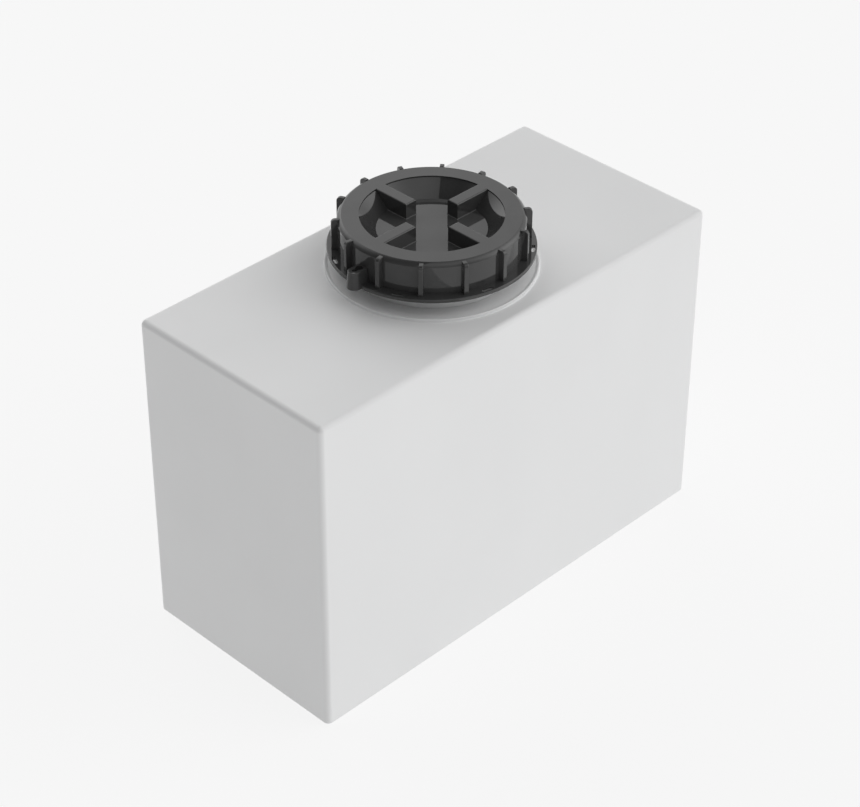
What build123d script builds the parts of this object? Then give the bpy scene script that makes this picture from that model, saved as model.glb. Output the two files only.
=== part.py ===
from build123d import *

import os
from math import pi, sqrt

# Fresh water tank: a hollow moulded shell with a big screw-on access lid.
# Origin: centre of the underside. +X along the length, towards the end that
# carries the hose connectors. +Z up. Lengths in millimetres.

# ---- Shell ----
LENGTH = 600.0
WIDTH = 281.0
HEIGHT = 400.0
WALL = 4.5
EDGE_RADIUS = 6.5
BASE_EDGE_RADIUS = 2.0
CAVITY_EDGE_RADIUS = 2.5

PLATFORM_RADIUS = 118.5
PLATFORM_HEIGHT = 2.6
PLATFORM_FOOT = 0.6
BEAD_TOP = 3.9
BEAD_WIDTH = 1.7
BEAD_SLOPE = 2.4
BEAD_EDGE_RADIUS = 0.8

# ---- Recesses in the +X end, one above the other ----
RECESS_DEPTH = 26.0
RECESS_WIDTH = 184.0
RECESS_CORNER_RADIUS = 10.0
RECESS_MOUTH_RADIUS = 3.0
UPPER_RECESS_BOTTOM = 286.0
UPPER_RECESS_TOP = 378.0
LOWER_RECESS_TOP = 66.0
RECESS_FACE_X = LENGTH / 2 - RECESS_DEPTH

# ---- Neck collar, heights measured from the flat top of the shell ----
NECK_BORE_RADIUS = 88.0
NECK_RADIUS = 94.0
NECK_TOP = 55.5
NECK_HOLE_GAP = 0.3
NECK_FLANGE_RADIUS = 112.0
NECK_FLANGE_THICKNESS = 4.0
NECK_LIP_CHAMFER = 1.0

# ---- Lid, heights measured from the flat top of the shell ----
LID_TOP = 64.0
LID_RADIUS = 103.5
LID_SHOULDER = 4.8
LID_SHOULDER_CROWN = 9.0
LID_DECK_THICKNESS = 5.0
SKIRT_INNER_RADIUS = 99.0
SKIRT_LEAD_IN = 1.5
FLANGE_RADIUS = 115.35
FLANGE_BOTTOM = 22.7
FLANGE_THICKNESS = 4.0
FLANGE_EDGE_RADIUS = 1.0
RECESS_RADIUS = 79.5
RECESS_LIP = 1.8
BOWL_FLOOR_RADIUS = 61.0
BOWL_DEPTH = 18.5
BOWL_WALL = 4.0

BAR_WIDTH = 15.3
BAR_INNER_RADIUS = 32.0
BAR_EDGE_RADIUS = 1.6
FOOT_RADIUS = 0.9

RIB_COUNT = 14
RIB_FIRST_ANGLE = 90.0
RIB_ROOT_THICKNESS = 5.8
RIB_TOP_THICKNESS = 4.8
RIB_RADIUS = 110.2
RIB_TOP = 63.4
RIB_CORNER_RADIUS = 4.5
RIB_EDGE_RADIUS = 0.7

SLOT_COUNT = 7
SLOT_FIRST_ANGLE = 90.0 + 180.0 / RIB_COUNT
SLOT_RADIUS = 111.2
SLOT_LENGTH = 14.3
SLOT_WIDTH = 3.9

LUG_INNER_CENTRE = 106.5
LUG_OUTER_CENTRE = 117.2
LUG_RADIUS = 8.5
LUG_TOP = 43.0
LUG_DRAFT = 4.0
LUG_EDGE_RADIUS = 0.8
KEYHOLE_CENTRE = 109.3
KEYHOLE_LARGE_RADIUS = 4.1
KEYHOLE_SMALL_RADIUS = 2.4

# ---- Two-start screw thread between lid and neck ----
THREAD_STARTS = 2
THREAD_LEAD = 18.0
THREAD_TURNS = 0.88
THREAD_GAP = 3.7
THREAD_BITE = 1.0
NECK_THREAD_START = 32.0
NECK_THREAD_TIP = 97.2
NECK_THREAD_WIDTHS = (4.6, 2.4)
LID_THREAD_TIP = 94.8
LID_THREAD_WIDTHS = (5.2, 2.3)

# ---- Lid gasket ----
GASKET_INNER_RADIUS = 86.5
GASKET_OUTER_RADIUS = 98.2

# ---- Hose connectors: y, z, bore radius, shank radius, flange radius, hex across flats ----
CONNECTORS = {
    "fill": (-38.0, 332.0, 19.5, 27.5, 37.0, 66.0),
    "vent": (52.0, 332.0, 9.3, 15.0, 22.0, 38.0),
    "outlet": (-42.0, 34.0, 12.1, 19.0, 27.0, 46.0),
    "drain": (42.0, 34.0, 12.1, 19.0, 27.0, 46.0),
}
WASHER_THICKNESS = 2.5
FITTING_FLANGE = 5.0
FITTING_HEX = 6.0
SHANK_INSIDE = 20.0
NUT_THICKNESS = 11.0
THREAD_CLEARANCE = 0.15
WASHER_CLEARANCE = 0.4
HOLE_CLEARANCE = 0.8
FITTING_CHAMFER = 1.0
HEX_CORNER_FACTOR = 0.56
NUT_HEX_EXTRA = 4.0

# ---- Drain plug ----
PLUG_CLEARANCE = 0.08
PLUG_SHANK = 14.0
PLUG_FLANGE_RADIUS = 16.5
PLUG_FLANGE = 2.5
PLUG_HEX = 27.0
PLUG_HEX_HEIGHT = 6.5
PLUG_SEAL = 2.0
PLUG_SEAL_RADIUS = 16.0
PLUG_SEAL_GAP = 0.3
PLUG_CHAMFER = 0.8
PLUG_HEX_CORNER_FACTORS = (0.58, 0.55)

# How far the shapes that cut holes run past the walls.
OVERRUN = 10.0


def revolved(points):
    """A solid of revolution about Z from a closed outline of (radius, height) points."""
    outline = make_face(Polyline(*points, close=True))
    return revolve(Plane.XZ * outline, axis=Axis.Z)


def ring(inner, outer, bottom, top):
    """A plain ring about Z."""
    return revolved([(inner, bottom), (outer, bottom), (outer, top), (inner, top)])


def block(x_low, x_high, width, z_low, z_high):
    """A box centred on Y."""
    size = (x_high - x_low, width, z_high - z_low)
    centre = ((x_high + x_low) / 2, 0, (z_high + z_low) / 2)
    return Pos(*centre) * Box(*size)


# ---------------------------------------------------------------- shell


def platform():
    """The low round platform under the lid, with a bead round its edge."""
    top = HEIGHT + PLATFORM_HEIGHT
    crest = HEIGHT + BEAD_TOP
    crest_inner = PLATFORM_RADIUS - BEAD_WIDTH
    disc = revolved(
        [
            (0, HEIGHT - WALL),
            (PLATFORM_RADIUS + PLATFORM_FOOT, HEIGHT - WALL),
            (PLATFORM_RADIUS + PLATFORM_FOOT, HEIGHT),
            (PLATFORM_RADIUS, HEIGHT + PLATFORM_FOOT),
            (PLATFORM_RADIUS, crest),
            (crest_inner, crest),
            (crest_inner - BEAD_SLOPE, top),
            (0, top),
        ]
    )
    crest_edges = disc.edges().filter_by(GeomType.CIRCLE).sort_by(Axis.Z)[-2:]
    return fillet(crest_edges, BEAD_EDGE_RADIUS)


def shell_outside():
    """The closed outer form of the shell, with its raised platform."""
    body = block(-LENGTH / 2, LENGTH / 2, WIDTH, 0, HEIGHT)
    top_edges = body.faces().sort_by(Axis.Z)[-1].edges()
    body = fillet(body.edges().filter_by(Axis.Z) + top_edges, EDGE_RADIUS)
    body = fillet(body.faces().sort_by(Axis.Z)[0].edges(), BASE_EDGE_RADIUS)
    return body + platform()


def recess(z_low, z_high, growth):
    """The space of one connector recess, grown by the wall when it shapes the cavity."""
    x_low = RECESS_FACE_X - growth
    space = block(x_low, LENGTH, RECESS_WIDTH + 2 * growth, z_low - growth, z_high + growth)
    return fillet(space.edges().filter_by(Axis.X), RECESS_CORNER_RADIUS + growth)


def recesses(growth):
    """Both recesses. The lower one runs out through the underside."""
    upper = recess(UPPER_RECESS_BOTTOM, UPPER_RECESS_TOP, growth)
    lower = recess(-LOWER_RECESS_TOP, LOWER_RECESS_TOP, growth)
    return upper + lower


def cavity():
    """The space for water inside the shell."""
    space = block(-LENGTH / 2 + WALL, LENGTH / 2 - WALL, WIDTH - 2 * WALL, WALL, HEIGHT - WALL)
    space = fillet(space.edges(), CAVITY_EDGE_RADIUS)
    space -= recesses(WALL)
    dome_top = HEIGHT + PLATFORM_HEIGHT - WALL
    return space + ring(0, PLATFORM_RADIUS - WALL, HEIGHT - 2 * WALL, dome_top)


def tank_shell():
    """The one-piece hollow shell."""
    shell = shell_outside() - recesses(0)
    mouth_edges = shell.faces().sort_by(Axis.X)[-1].inner_wires().edges()
    shell = fillet(mouth_edges, RECESS_MOUTH_RADIUS)
    shell -= cavity()
    hole_radius = NECK_RADIUS + NECK_HOLE_GAP
    shell -= ring(0, hole_radius, HEIGHT - WALL, HEIGHT + OVERRUN)
    for y, z, _, shank, _, _ in CONNECTORS.values():
        hole = Cylinder(shank + HOLE_CLEARANCE, 2 * OVERRUN)
        shell -= Pos(RECESS_FACE_X, y, z) * Rot(0, 90, 0) * hole
    return shell


# ---------------------------------------------------------------- neck, lid and thread


def thread_ridges(root, tip, widths, start, bite):
    """Right-hand helical ridges from a root radius to a tip radius, one for each start."""
    root_width, tip_width = widths
    # The flanks carry straight on into the wall, so that the ridge bites into it.
    foot_width = root_width + (root_width - tip_width) * bite / (root - tip)
    outline = Polyline(
        (root + bite, -foot_width / 2),
        (tip, -tip_width / 2),
        (tip, tip_width / 2),
        (root + bite, foot_width / 2),
        close=True,
    )
    section = Plane.XZ * make_face(outline)
    path = Helix(THREAD_LEAD, THREAD_LEAD * THREAD_TURNS, root)
    ridge = Pos(0, 0, HEIGHT + start) * sweep(section, path=path, is_frenet=True)
    return [Rot(0, 0, 360 * k / THREAD_STARTS) * ridge for k in range(THREAD_STARTS)]


def neck_collar():
    """The threaded neck, held up against the platform by its flange."""
    flange_top = HEIGHT + PLATFORM_HEIGHT - WALL
    flange_bottom = flange_top - NECK_FLANGE_THICKNESS
    top = HEIGHT + NECK_TOP
    neck = revolved(
        [
            (NECK_BORE_RADIUS, flange_bottom),
            (NECK_FLANGE_RADIUS, flange_bottom),
            (NECK_FLANGE_RADIUS, flange_top),
            (NECK_RADIUS, flange_top),
            (NECK_RADIUS, top - NECK_LIP_CHAMFER),
            (NECK_RADIUS - NECK_LIP_CHAMFER, top),
            (NECK_BORE_RADIUS + NECK_LIP_CHAMFER, top),
            (NECK_BORE_RADIUS, top - NECK_LIP_CHAMFER),
        ]
    )
    for ridge in thread_ridges(
        NECK_RADIUS, NECK_THREAD_TIP, NECK_THREAD_WIDTHS, NECK_THREAD_START, -THREAD_BITE
    ):
        neck += ridge
    return neck


def lid_blank():
    """The lid turned as one piece, with the bowl still full."""
    deck_under = LID_TOP - LID_DECK_THICKNESS
    floor = LID_TOP - BOWL_DEPTH
    run = RECESS_RADIUS - BOWL_FLOOR_RADIUS
    rise = BOWL_DEPTH - RECESS_LIP
    slant = sqrt(run**2 + rise**2)
    # The outside of the bowl runs parallel to its sloping wall, one wall thickness away.
    outer_r = BOWL_FLOOR_RADIUS + BOWL_WALL * rise / slant
    outer_z = floor - BOWL_WALL * run / slant
    deck_r = outer_r + (deck_under - outer_z) * run / rise
    floor_under = floor - BOWL_WALL
    foot_r = outer_r + (floor_under - outer_z) * run / rise
    shoulder = LID_RADIUS - LID_SHOULDER
    flange_top = FLANGE_BOTTOM + FLANGE_THICKNESS
    corner = (LID_RADIUS, LID_TOP - LID_SHOULDER)
    edge_top = (FLANGE_RADIUS - FLANGE_EDGE_RADIUS, flange_top)
    edge_side = (FLANGE_RADIUS, flange_top - FLANGE_EDGE_RADIUS)
    under = [
        (FLANGE_RADIUS, FLANGE_BOTTOM),
        (SKIRT_INNER_RADIUS + SKIRT_LEAD_IN, FLANGE_BOTTOM),
        (SKIRT_INNER_RADIUS, FLANGE_BOTTOM + SKIRT_LEAD_IN),
        (SKIRT_INNER_RADIUS, deck_under),
        (deck_r, deck_under),
        (foot_r, floor_under),
        (0, floor_under),
        (0, LID_TOP),
        (shoulder, LID_TOP),
    ]
    outline = Polyline(*under)
    outline += RadiusArc(under[-1], corner, LID_SHOULDER_CROWN)
    outline += Polyline(corner, (LID_RADIUS, flange_top), edge_top)
    outline += RadiusArc(edge_top, edge_side, FLANGE_EDGE_RADIUS)
    outline += Line(edge_side, under[0])
    return Pos(0, 0, HEIGHT) * revolve(Plane.XZ * make_face(outline), axis=Axis.Z)


def grip_bars():
    """The four bars of the grip cross, longer than they show."""
    top = HEIGHT + LID_TOP
    low = top - BOWL_DEPTH - BOWL_WALL / 2
    bar = block(BAR_INNER_RADIUS, RECESS_RADIUS + BOWL_WALL, BAR_WIDTH, low, top)
    upper = bar.faces().sort_by(Axis.Z)[-1].edges()
    bar = fillet(upper.filter_by(Axis.X) + upper.sort_by(Axis.X)[0], BAR_EDGE_RADIUS)
    return [Rot(0, 0, 90 * k) * bar for k in range(4)]


def bowl():
    """The hollow of the grip recess, with the bars left standing in it."""
    top = HEIGHT + LID_TOP
    floor = top - BOWL_DEPTH
    hollow = revolved(
        [
            (0, floor),
            (BOWL_FLOOR_RADIUS, floor),
            (RECESS_RADIUS, top - RECESS_LIP),
            (RECESS_RADIUS, top + RECESS_LIP),
            (0, top + RECESS_LIP),
        ]
    )
    cap = ring(0, RECESS_RADIUS + BOWL_WALL, top, top + 2 * RECESS_LIP)
    for bar in grip_bars():
        hollow -= bar
    hollow -= cap
    foot_edges = hollow.faces().sort_by(Axis.Z)[0].edges().filter_by(GeomType.LINE)
    return fillet(foot_edges, FOOT_RADIUS)


def ribs():
    """The grip ribs round the skirt, a little thinner at the top."""
    low = HEIGHT + FLANGE_BOTTOM + FLANGE_THICKNESS / 2
    top = HEIGHT + RIB_TOP
    inner = (LID_RADIUS + SKIRT_INNER_RADIUS) / 2
    section = Polyline(
        (-RIB_ROOT_THICKNESS / 2, low),
        (RIB_ROOT_THICKNESS / 2, low),
        (RIB_TOP_THICKNESS / 2, top),
        (-RIB_TOP_THICKNESS / 2, top),
        close=True,
    )
    rib = extrude(Plane.YZ.offset(inner) * make_face(section), RIB_RADIUS - inner)
    tip_top = rib.faces().sort_by(Axis.Z)[-1].edges().sort_by(Axis.X)[-1]
    rib = fillet(tip_top, RIB_CORNER_RADIUS)
    by_side = rib.faces().sort_by(Axis.Y)
    sides = by_side[0].edges() + by_side[-1].edges()
    outer = [e for e in sides if e.center().X > inner + RIB_EDGE_RADIUS]
    outer = [e for e in outer if e.center().Z > low + RIB_EDGE_RADIUS]
    rib = fillet(outer, RIB_EDGE_RADIUS)
    turn = 360 / RIB_COUNT
    return [Rot(0, 0, RIB_FIRST_ANGLE + k * turn) * rib for k in range(RIB_COUNT)]


def flange_slots():
    """The short curved slots through the flange."""
    span = 180 / pi * (SLOT_LENGTH - SLOT_WIDTH) / SLOT_RADIUS
    path = CenterArc((0, 0), SLOT_RADIUS, -span / 2, span)
    slot = extrude(SlotArc(path, SLOT_WIDTH), FLANGE_THICKNESS + 2 * OVERRUN)
    slot = Pos(0, 0, HEIGHT + FLANGE_BOTTOM - OVERRUN) * slot
    turn = 360 / SLOT_COUNT
    return [Rot(0, 0, SLOT_FIRST_ANGLE + k * turn) * slot for k in range(SLOT_COUNT)]


def keyhole_lug():
    """The tapered lug on the -X side, standing on the flange and joined to the skirt."""
    spacing = LUG_OUTER_CENTRE - LUG_INNER_CENTRE
    middle = -(LUG_OUTER_CENTRE + LUG_INNER_CENTRE) / 2
    outline = Pos(middle, 0) * SlotCenterToCenter(spacing, 2 * LUG_RADIUS)
    lug = extrude(outline, LUG_TOP - FLANGE_BOTTOM, taper=LUG_DRAFT)
    lug = fillet(lug.faces().sort_by(Axis.Z)[-1].edges(), LUG_EDGE_RADIUS)
    lug = Pos(0, 0, HEIGHT + FLANGE_BOTTOM) * lug
    skirt_middle = (LID_RADIUS + SKIRT_INNER_RADIUS) / 2
    return lug - ring(0, skirt_middle, HEIGHT, HEIGHT + LID_TOP)


def keyhole():
    """The keyhole through the lug, wide end towards the lid."""
    height = LUG_TOP - FLANGE_BOTTOM + 2 * OVERRUN
    wide = Pos(-KEYHOLE_CENTRE, 0) * Circle(KEYHOLE_LARGE_RADIUS)
    spacing = LUG_OUTER_CENTRE - KEYHOLE_CENTRE
    middle = -(LUG_OUTER_CENTRE + KEYHOLE_CENTRE) / 2
    narrow = Pos(middle, 0) * SlotCenterToCenter(spacing, 2 * KEYHOLE_SMALL_RADIUS)
    hole = extrude(wide + narrow, height)
    return Pos(0, 0, HEIGHT + FLANGE_BOTTOM - OVERRUN) * hole


def lid():
    """The screw-on lid as one moulding."""
    body = lid_blank() - bowl()
    for rib in ribs():
        body += rib
    body += keyhole_lug()
    body -= keyhole()
    for slot in flange_slots():
        body -= slot
    start = NECK_THREAD_START - THREAD_GAP
    for ridge in thread_ridges(
        SKIRT_INNER_RADIUS, LID_THREAD_TIP, LID_THREAD_WIDTHS, start, THREAD_BITE
    ):
        body += ridge
    return body


def lid_gasket():
    """The flat ring between the neck and the underside of the lid."""
    top = HEIGHT + LID_TOP - LID_DECK_THICKNESS
    return ring(GASKET_INNER_RADIUS, GASKET_OUTER_RADIUS, HEIGHT + NECK_TOP, top)


# ---------------------------------------------------------------- hose connectors


def placed(shape, y, z):
    """Turns a shape built along Z from the recess face so that it points out along X."""
    return Pos(RECESS_FACE_X, y, z) * Rot(0, 90, 0) * shape


def hex_prism(across_flats, bottom, top):
    """A hexagonal prism along Z."""
    outline = RegularPolygon(across_flats / 2, 6, major_radius=False)
    return Pos(0, 0, bottom) * extrude(outline, top - bottom)


def fitting(bore, shank, flange, hexagon):
    """A flanged through-wall body with a hexagonal head."""
    head = WASHER_THICKNESS + FITTING_FLANGE
    end = head + FITTING_HEX
    body = ring(bore, shank, -WALL - SHANK_INSIDE, head)
    body += ring(bore, flange, WASHER_THICKNESS, head)
    rim = body.faces().sort_by(Axis.Z)[-1].edges().sort_by(SortBy.RADIUS)[-1]
    body = chamfer(rim, FITTING_CHAMFER)
    hex_head = hex_prism(hexagon, head, end) & ring(0, hexagon * HEX_CORNER_FACTOR, head, end)
    return body + (hex_head - Cylinder(bore, 4 * end))


def washer(shank, flange):
    """The rubber washer outside the wall."""
    return ring(shank + WASHER_CLEARANCE, flange, 0, WASHER_THICKNESS)


def backnut(shank, hexagon):
    """The nut inside the wall."""
    nut = hex_prism(hexagon + NUT_HEX_EXTRA, -WALL - NUT_THICKNESS, -WALL)
    nut -= Cylinder(shank + THREAD_CLEARANCE, 4 * (WALL + NUT_THICKNESS))
    return nut


def drain_plug(bore):
    """The plug in the drain connector."""
    seat = WASHER_THICKNESS + FITTING_FLANGE + FITTING_HEX
    flange_low = seat + PLUG_SEAL
    flange_top = flange_low + PLUG_FLANGE
    shank_end = seat - PLUG_SHANK
    radius = bore - PLUG_CLEARANCE
    plug = revolved(
        [
            (0, shank_end),
            (radius - PLUG_CHAMFER, shank_end),
            (radius, shank_end + PLUG_CHAMFER),
            (radius, flange_low),
            (PLUG_FLANGE_RADIUS, flange_low),
            (PLUG_FLANGE_RADIUS, flange_top),
            (0, flange_top),
        ]
    )
    head = hex_prism(PLUG_HEX, flange_top, flange_top + PLUG_HEX_HEIGHT)
    low_factor, high_factor = PLUG_HEX_CORNER_FACTORS
    rounding = Cone(PLUG_HEX * low_factor, PLUG_HEX * high_factor, 2 * PLUG_HEX_HEIGHT)
    head &= Pos(0, 0, flange_top) * rounding
    return plug + head


def drain_plug_seal(bore):
    """The ring under the plug's flange."""
    seat = WASHER_THICKNESS + FITTING_FLANGE + FITTING_HEX
    return ring(bore + PLUG_SEAL_GAP, PLUG_SEAL_RADIUS, seat, seat + PLUG_SEAL)


def connector_nodes():
    """The pieces of every hose connector, by node name."""
    nodes = {}
    for name, (y, z, bore, shank, flange, hexagon) in CONNECTORS.items():
        nodes[f"{name}_fitting"] = placed(fitting(bore, shank, flange, hexagon), y, z)
        nodes[f"{name}_washer"] = placed(washer(shank, flange), y, z)
        nodes[f"{name}_backnut"] = placed(backnut(shank, hexagon), y, z)
    y, z, bore = CONNECTORS["drain"][:3]
    nodes["drain_plug"] = placed(drain_plug(bore), y, z)
    nodes["drain_plug_seal"] = placed(drain_plug_seal(bore), y, z)
    return nodes


def main():
    """Builds every node and writes one STEP file for each."""
    nodes = {
        "tank_shell": tank_shell(),
        "neck_collar": neck_collar(),
        "lid": lid(),
        "lid_gasket": lid_gasket(),
    }
    nodes.update(connector_nodes())
    os.makedirs("parts", exist_ok=True)
    for name, shape in nodes.items():
        export_step(shape, f"parts/{name}.step")
        print(name, len(shape.solids()), round(shape.volume))


main()
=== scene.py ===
from math import cos, radians, sin

import bpy
from mathutils import Matrix, Vector

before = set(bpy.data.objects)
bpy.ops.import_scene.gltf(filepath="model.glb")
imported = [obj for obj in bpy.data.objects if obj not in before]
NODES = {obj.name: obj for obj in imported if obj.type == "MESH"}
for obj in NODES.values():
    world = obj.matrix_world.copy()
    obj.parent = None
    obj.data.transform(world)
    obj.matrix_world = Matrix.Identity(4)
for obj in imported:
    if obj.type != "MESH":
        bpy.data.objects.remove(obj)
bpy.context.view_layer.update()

# ---- Camera ----
CAMERA_PLACE = Vector((-1.6457, -1.6261, 1.8725))
CAMERA_FORWARD = Vector((0.57728, 0.57107, -0.58363))
CAMERA_RIGHT = Vector((0.70477, -0.70942, 0.00295))
SENSOR_WIDTH = 36.0
LENS = 104.315

# ---- Studio ----
FLOOR_RADIUS = 120.0
FLOOR_GLOW = 0.84
FLOOR_COLOUR = (0.12, 0.12, 0.12, 1.0)
FLOOR_ROUGHNESS = 0.9
# What is seen past the floor: as pale as the floor, so that there is no horizon.
BACKDROP = (0.93, 0.93, 0.93, 1.0)
WHITE = (1.0, 1.0, 1.0, 1.0)
# Soft lights, far off all round: azimuth from +X and height in degrees, tightness, strength.
SOFT_LIGHTS = {
    "back": (85, 32, 6.5, 1.77),
    "far_low": (40, 5, 4.5, 0.95),
    "right": (325, 27, 6.5, 2.20),
    "right_wide": (300, 20, 3.0, 0.24),
    "left_low": (195, 6, 6.0, 0.23),
}
# The screen high on the front right ends in a straight upright edge at this azimuth.
SCREEN = (240, 57, 5.0, 0.90)
SCREEN_EDGE = 204.5

# ---- Finishes: grey levels are linear, scales are per metre, and depths are in metres ----
# The white plastic is a touch cooler than grey.
COOL = (-0.003, 0.0, 0.002)
SHELL = {"level": 0.805, "roughness": 0.45, "grain_depth": 1.2e-5}
# The neck is a darker white than the shell: painted shade, standing for the shadow under the
# lid's flange.
NECK_SHADED = {"level": 0.70, "roughness": 0.34, "grain_depth": 4.0e-6}
WHITE_CLOUD = {"scale": 5.0, "stretch": (1.0, 1.0, 0.5), "darker": 0.008, "lighter": 0.010}
WHITE_PATCHES = {"scale": 14.0, "spread": 0.05}
SKIN_SCALE = 90.0
SKIN_TO_GRAIN_DEPTH = 4
GRAIN_SCALE = 1400.0
WHITE_SCUFFS = {"scale": 160.0, "strength": 0.10}

LID = {"low": 0.043, "high": 0.050, "roughness": 0.03}
FITTINGS = {"low": 0.026, "high": 0.034, "roughness": 0.26}
DARK_CLOUD_SCALE = 30.0
DARK_PATCHES = {"scale": 45.0, "spread": 0.03}
WAVE_SCALE = 60.0
WAVE_DEPTH = 2.0e-5
FINE_GRAIN_SCALE = 2500.0
FINE_GRAIN_DEPTH = 2.0e-6
DARK_SCUFFS = {"scale": 240.0, "strength": 0.04}

SCUFF_STRETCH = (1.0, 0.08, 1.0)
SCUFF_BAND = (0.60, 0.72)
RUBBER_LEVELS = (0.022, 0.045)
RUBBER_ROUGHNESS = (0.62, 0.82)
BLOOM_SCALE = 80.0
RUBBER_GRAIN_SCALE = 3000.0
RUBBER_GRAIN_DEPTH = 8.0e-6


class Surface:
    """A material in the making: its shader, and short calls for the nodes that feed it."""

    def __init__(self, name):
        self.material = bpy.data.materials.new(name)
        self.material.use_nodes = True
        self.tree = self.material.node_tree
        self.shader = self.tree.nodes["Principled BSDF"]
        self.place = self.add("ShaderNodeTexCoord").outputs["Object"]

    def add(self, kind, **settings):
        node = self.tree.nodes.new(kind)
        for name, value in settings.items():
            setattr(node, name, value)
        return node

    def feed(self, socket, value):
        """Links an output into a socket, or sets the socket to a plain value."""
        if isinstance(value, bpy.types.NodeSocket):
            self.tree.links.new(value, socket)
        else:
            socket.default_value = value

    def set(self, **values):
        """Sets the shader's own sockets: words joined by _ name the socket."""
        for name, value in values.items():
            self.feed(self.shader.inputs[name.replace("_", " ")], value)

    def stretched(self, stretch):
        """The place on the object, scaled by a different amount along each axis."""
        node = self.add("ShaderNodeMapping")
        self.feed(node.inputs["Vector"], self.place)
        node.inputs["Scale"].default_value = stretch
        return node.outputs["Vector"]

    def noise(self, scale, detail=2.0, roughness=0.5, place=None):
        node = self.add("ShaderNodeTexNoise")
        self.feed(node.inputs["Vector"], place or self.place)
        node.inputs["Scale"].default_value = scale
        node.inputs["Detail"].default_value = detail
        node.inputs["Roughness"].default_value = roughness
        return node.outputs["Fac"]

    def ranged(self, value, low, high, to_low=0.0, to_high=1.0):
        """Maps a value from one range to another, smoothly and within limits."""
        node = self.add("ShaderNodeMapRange", interpolation_type="SMOOTHSTEP")
        for socket, v in zip(node.inputs, (value, low, high, to_low, to_high)):
            self.feed(socket, v)
        return node.outputs["Result"]

    def mixed(self, factor, a, b):
        """Mixes two colours."""
        node = self.add("ShaderNodeMix", data_type="RGBA")
        self.feed(node.inputs["Factor"], factor)
        self.feed(node.inputs["A"], a)
        self.feed(node.inputs["B"], b)
        return node.outputs["Result"]

    def plus(self, a, b):
        node = self.add("ShaderNodeMath", operation="ADD")
        self.feed(node.inputs[0], a)
        self.feed(node.inputs[1], b)
        return node.outputs["Value"]

    def bump(self, height, depth, normal=None):
        """Raises the surface by up to depth where the height is 1."""
        node = self.add("ShaderNodeBump")
        node.inputs["Distance"].default_value = depth
        self.feed(node.inputs["Height"], height)
        if normal:
            self.feed(node.inputs["Normal"], normal)
        return node.outputs["Normal"]

    def scuffs(self, scale, strength):
        """Short faint scuffs, drawn out along the part's width: how much rougher they are."""
        lines = self.noise(scale, detail=3.0, place=self.stretched(SCUFF_STRETCH))
        return self.ranged(lines, *SCUFF_BAND, 0.0, strength)


def grey(level, tint=(0.0, 0.0, 0.0)):
    """A nearly neutral colour."""
    return (level + tint[0], level + tint[1], level + tint[2], 1.0)


def polyethylene(name, level, roughness, grain_depth):
    """Milky white polyethylene with a faint cloudiness and a fine moulded skin."""
    s = Surface(name)
    place = s.stretched(WHITE_CLOUD["stretch"])
    cloud = s.ranged(s.noise(WHITE_CLOUD["scale"], detail=3.0, place=place), 0.3, 0.7)
    dark = grey(level - WHITE_CLOUD["darker"], COOL)
    light = grey(level + WHITE_CLOUD["lighter"], COOL)
    s.set(Base_Color=s.mixed(cloud, dark, light))
    spread = WHITE_PATCHES["spread"]
    patches = s.noise(WHITE_PATCHES["scale"], detail=4.0, roughness=0.6)
    patches = s.ranged(patches, 0.3, 0.7, roughness - spread, roughness + spread)
    s.set(Roughness=s.plus(patches, s.scuffs(**WHITE_SCUFFS)))
    skin = s.bump(s.noise(SKIN_SCALE), SKIN_TO_GRAIN_DEPTH * grain_depth)
    s.set(Normal=s.bump(s.noise(GRAIN_SCALE), grain_depth, skin))
    return s.material


def gloss_plastic(name, low, high, roughness):
    """Dark injection-moulded plastic, glossy, with faint handling marks."""
    s = Surface(name)
    cloud = s.ranged(s.noise(DARK_CLOUD_SCALE, detail=3.0), 0.3, 0.7)
    s.set(Base_Color=s.mixed(cloud, grey(low), grey(high)))
    patches = s.noise(DARK_PATCHES["scale"], detail=5.0, roughness=0.65)
    patches = s.ranged(patches, 0.35, 0.7, roughness, roughness + DARK_PATCHES["spread"])
    s.set(Roughness=s.plus(patches, s.scuffs(**DARK_SCUFFS)))
    wave = s.bump(s.noise(WAVE_SCALE, detail=1.0), WAVE_DEPTH)
    s.set(Normal=s.bump(s.noise(FINE_GRAIN_SCALE), FINE_GRAIN_DEPTH, wave))
    return s.material


def rubber(name):
    """Matte black rubber with a dusty bloom."""
    s = Surface(name)
    bloom = s.ranged(s.noise(BLOOM_SCALE, detail=5.0, roughness=0.7), 0.4, 0.75)
    s.set(Base_Color=s.mixed(bloom, *(grey(level) for level in RUBBER_LEVELS)))
    s.set(Roughness=s.ranged(bloom, 0.0, 1.0, *RUBBER_ROUGHNESS))
    s.set(Normal=s.bump(s.noise(RUBBER_GRAIN_SCALE), RUBBER_GRAIN_DEPTH))
    return s.material


def assign(material, *nodes):
    """Gives CAD nodes a material in place of their own."""
    for node in nodes:
        NODES[node].data.materials.clear()
        NODES[node].data.materials.append(material)


def nodes_ending(*endings):
    return [name for name in NODES if name.endswith(endings)]


def finish_nodes():
    """Every CAD node gets its finish."""
    assign(polyethylene("shell_polyethylene", **SHELL), "tank_shell")
    # The neck's lower level is painted shade from the lid's flange above it.
    assign(polyethylene("neck_polyethylene_painted_shade", **NECK_SHADED), "neck_collar")
    assign(gloss_plastic("lid_plastic", **LID), "lid")
    fittings = nodes_ending("fitting", "backnut", "plug")
    assign(gloss_plastic("fitting_plastic", **FITTINGS), *fittings)
    assign(rubber("rubber"), *nodes_ending("gasket", "washer", "seal"))


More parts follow.
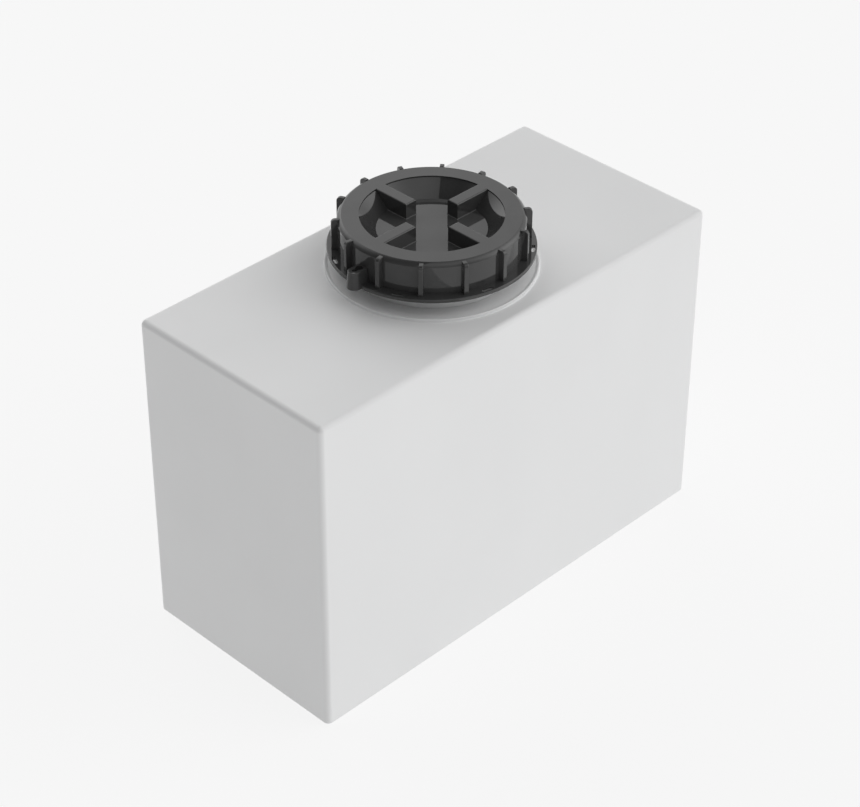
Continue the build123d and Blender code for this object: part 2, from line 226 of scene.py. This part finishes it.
def make_camera():
    """The camera, looking down on the near corner of the tank."""
    data = bpy.data.cameras.new("camera")
    data.sensor_width = SENSOR_WIDTH
    data.lens = LENS
    camera = bpy.data.objects.new("camera", data)
    bpy.context.scene.collection.objects.link(camera)
    back = -CAMERA_FORWARD.normalized()
    right = CAMERA_RIGHT.normalized()
    turn = Matrix((right, back.cross(right).normalized(), back)).transposed()
    camera.matrix_world = Matrix.Translation(CAMERA_PLACE) @ turn.to_4x4()
    bpy.context.scene.camera = camera


def make_floor():
    """A plain pale floor with a little glow of its own, so that shadows on it stay faint."""
    r = FLOOR_RADIUS
    mesh = bpy.data.meshes.new("floor")
    mesh.from_pydata([(-r, -r, 0), (r, -r, 0), (r, r, 0), (-r, r, 0)], [], [(0, 1, 2, 3)])
    floor = bpy.data.objects.new("floor", mesh)
    bpy.context.scene.collection.objects.link(floor)
    s = Surface("floor")
    s.set(Base_Color=FLOOR_COLOUR, Roughness=FLOOR_ROUGHNESS, Specular_IOR_Level=0.0)
    s.set(Emission_Color=WHITE, Emission_Strength=FLOOR_GLOW)
    mesh.materials.append(s.material)


def direction(azimuth, height):
    """A unit vector from an azimuth and a height in degrees."""
    a, e = radians(azimuth), radians(height)
    return Vector((cos(a) * cos(e), sin(a) * cos(e), sin(e)))


def light_strength(tree):
    """The sky's strength: each soft light is a broad glow, a power of a cosine."""
    place = tree.nodes.new("ShaderNodeTexCoord").outputs["Generated"]

    def maths(operation, a, b):
        node = tree.nodes.new("ShaderNodeMath")
        node.operation = operation
        for socket, value in zip(node.inputs, (a, b)):
            if isinstance(value, bpy.types.NodeSocket):
                tree.links.new(value, socket)
            else:
                socket.default_value = value
        return node.outputs["Value"]

    def towards(azimuth, height):
        node = tree.nodes.new("ShaderNodeVectorMath")
        node.operation = "DOT_PRODUCT"
        tree.links.new(place, node.inputs[0])
        node.inputs[1].default_value = direction(azimuth, height)
        return node.outputs["Value"]

    def soft_light(azimuth, height, tightness, strength):
        glow = maths("POWER", maths("MAXIMUM", towards(azimuth, height), 0.0), tightness)
        return maths("MULTIPLY", glow, strength)

    lit_side = maths("GREATER_THAN", towards(SCREEN_EDGE + 90, 0), 0.0)
    total = maths("MULTIPLY", soft_light(*SCREEN), lit_side)
    for light in SOFT_LIGHTS.values():
        total = maths("ADD", total, soft_light(*light))
    return total


def make_sky():
    """The world: the soft lights, and a plain backdrop where it is seen directly."""
    world = bpy.data.worlds.new("studio")
    world.use_nodes = True
    tree = world.node_tree
    lights = tree.nodes["Background"]
    lights.inputs["Color"].default_value = WHITE
    tree.links.new(light_strength(tree), lights.inputs["Strength"])
    backdrop = tree.nodes.new("ShaderNodeBackground")
    backdrop.inputs["Color"].default_value = BACKDROP
    seen_or_lit = tree.nodes.new("ShaderNodeMixShader")
    is_seen = tree.nodes.new("ShaderNodeLightPath").outputs["Is Camera Ray"]
    tree.links.new(is_seen, seen_or_lit.inputs["Fac"])
    tree.links.new(lights.outputs["Background"], seen_or_lit.inputs[1])
    tree.links.new(backdrop.outputs["Background"], seen_or_lit.inputs[2])
    tree.links.new(seen_or_lit.outputs["Shader"], tree.nodes["World Output"].inputs["Surface"])
    bpy.context.scene.world = world


finish_nodes()
make_floor()
make_sky()
make_camera()
bpy.context.scene.view_settings.view_transform = "Standard"
